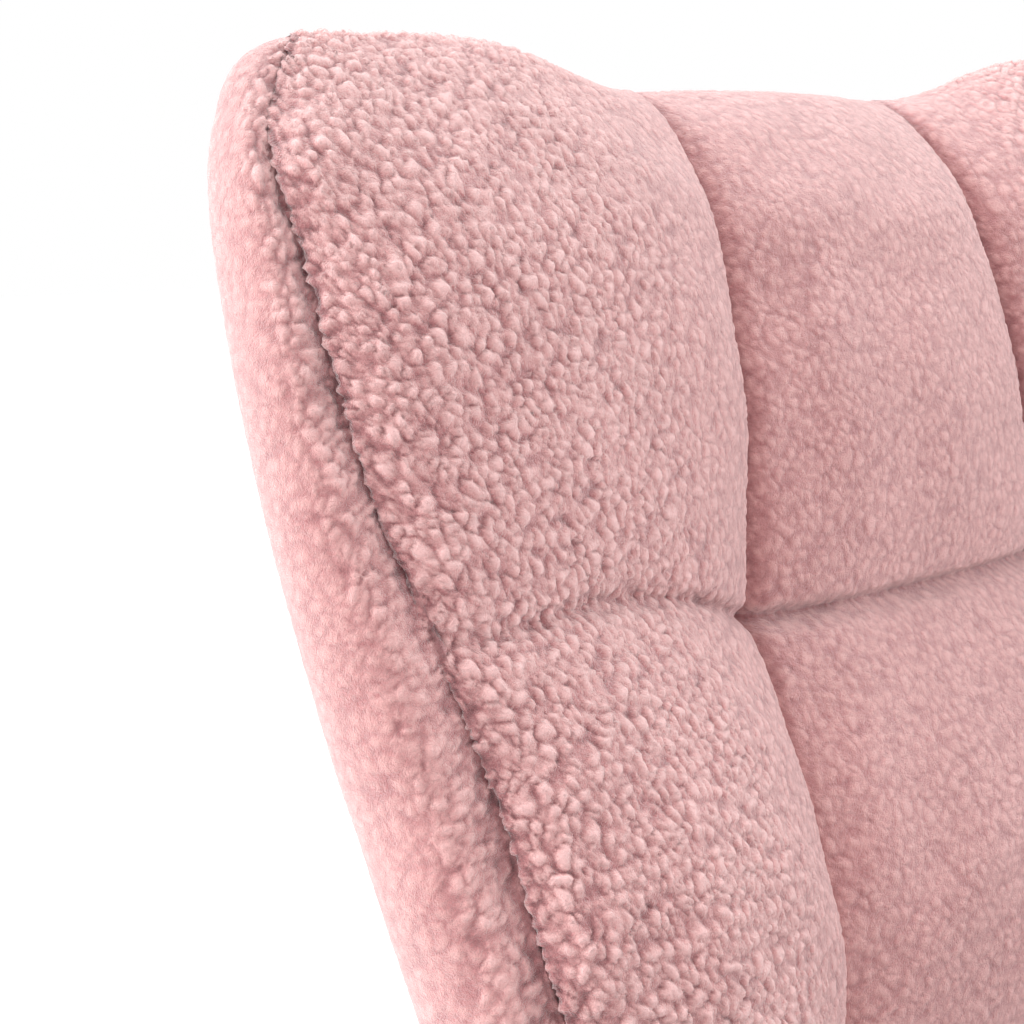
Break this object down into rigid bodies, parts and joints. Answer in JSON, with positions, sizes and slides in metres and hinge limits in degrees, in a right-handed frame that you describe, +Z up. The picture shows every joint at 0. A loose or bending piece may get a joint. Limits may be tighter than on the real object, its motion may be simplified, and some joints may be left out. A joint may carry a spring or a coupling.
{
  "type": "glider nursery chair",
  "caption": "Pink teddy-upholstered winged glider armchair with a quilted reclined back, swinging fore and aft on steel links in a beech floor base.",
  "frame": {"origin": "on the floor, under the middle of the chair's bounding box", "axes": "+Z up, the sitter faces -Y, +X to the right of someone looking at the chair from the front"},
  "size_m": [0.6562, 0.7567, 1.037],
  "materials": {
    "teddy_fabric": "pink curly teddy pile",
    "beech": "natural beech, clear satin lacquer",
    "plywood": "raw birch plywood",
    "black_steel": "black powder coat",
    "zinc_steel": "bright zinc plate",
    "bearing_steel": "ground bearing steel",
    "spring_steel": "oiled spring wire",
    "rubber": "matt black rubber",
    "wadding": "off-white felted wadding",
    "black_lining": "black non-woven lining"
  },
  "bodies": {
    "base": {"left_runner": "beech", "right_runner": "beech", "front_cross_rail": "beech", "rear_cross_rail": "beech", "front_left_post": "beech", "front_right_post": "beech", "rear_left_post": "beech", "rear_right_post": "beech", "foot_pads": "rubber", "stop_bumpers": "rubber", "cross_rail_bolts": "zinc_steel", "upper_pivot_fasteners": "zinc_steel", "upper_bearing_sleeves": "bearing_steel"},
    "front_left_link": {"front_left_link": "black_steel", "front_left_link_bearings": "bearing_steel"},
    "front_right_link": {"front_right_link": "black_steel", "front_right_link_bearings": "bearing_steel"},
    "rear_left_link": {"rear_left_link": "black_steel", "rear_left_link_bearings": "bearing_steel"},
    "rear_right_link": {"rear_right_link": "black_steel", "rear_right_link_bearings": "bearing_steel"},
    "chair": {"front_left_hanger_leg": "beech", "front_right_hanger_leg": "beech", "rear_left_hanger_leg": "beech", "rear_right_hanger_leg": "beech", "left_hanger_rail": "beech", "right_hanger_rail": "beech", "lower_pivot_fasteners": "zinc_steel", "lower_bearing_sleeves": "bearing_steel", "frame_bolts": "zinc_steel", "seat_left_rail": "beech", "seat_right_rail": "beech", "seat_front_rail": "beech", "seat_rear_rail": "beech", "seat_corner_blocks": "beech", "seat_springs": "spring_steel", "spring_clips": "spring_steel", "seat_deck_pad": "wadding", "dust_cover": "black_lining", "back_panel": "plywood", "left_wing_panel": "plywood", "right_wing_panel": "plywood", "left_back_post": "beech", "right_back_post": "beech", "back_centre_pad": "teddy_fabric", "left_wing_pad": "teddy_fabric", "right_wing_pad": "teddy_fabric", "outer_back_cover": "teddy_fabric", "left_wing_border": "teddy_fabric", "right_wing_border": "teddy_fabric", "left_arm_panel": "plywood", "left_arm_inner_pad": "teddy_fabric", "left_arm_outer_cover": "teddy_fabric", "left_arm_border": "teddy_fabric", "right_arm_panel": "plywood", "right_arm_inner_pad": "teddy_fabric", "right_arm_outer_cover": "teddy_fabric", "right_arm_border": "teddy_fabric", "seat_cushion": "teddy_fabric", "seat_apron": "teddy_fabric"}
  },
  "joints": [
    {"name": "front_left_swing", "type": "hinge", "parent": "base", "child": "front_left_link", "pos_m": [-0.298, -0.19, 0.232], "axis": [1, 0, 0], "range_deg": [-18, 18]},
    {"name": "seat_glide", "type": "hinge", "parent": "front_left_link", "child": "chair", "pos_m": [-0.298, -0.19, 0.082], "axis": [1, 0, 0], "range_deg": [-18, 18]},
    {"name": "front_right_swing", "type": "hinge", "parent": "base", "child": "front_right_link", "pos_m": [0.298, -0.19, 0.232], "axis": [1, 0, 0], "range_deg": [-18, 18]},
    {"name": "rear_left_swing", "type": "hinge", "parent": "base", "child": "rear_left_link", "pos_m": [-0.298, 0.19, 0.232], "axis": [1, 0, 0], "range_deg": [-18, 18]},
    {"name": "rear_right_swing", "type": "hinge", "parent": "base", "child": "rear_right_link", "pos_m": [0.298, 0.19, 0.232], "axis": [1, 0, 0], "range_deg": [-18, 18]}
  ],
  "couplings": [
    {"joint": "seat_glide", "follows": "front_left_swing", "ratio": -1},
    {"joint": "front_right_swing", "follows": "front_left_swing", "ratio": 1},
    {"joint": "rear_left_swing", "follows": "front_left_swing", "ratio": 1},
    {"joint": "rear_right_swing", "follows": "front_left_swing", "ratio": 1}
  ]
}
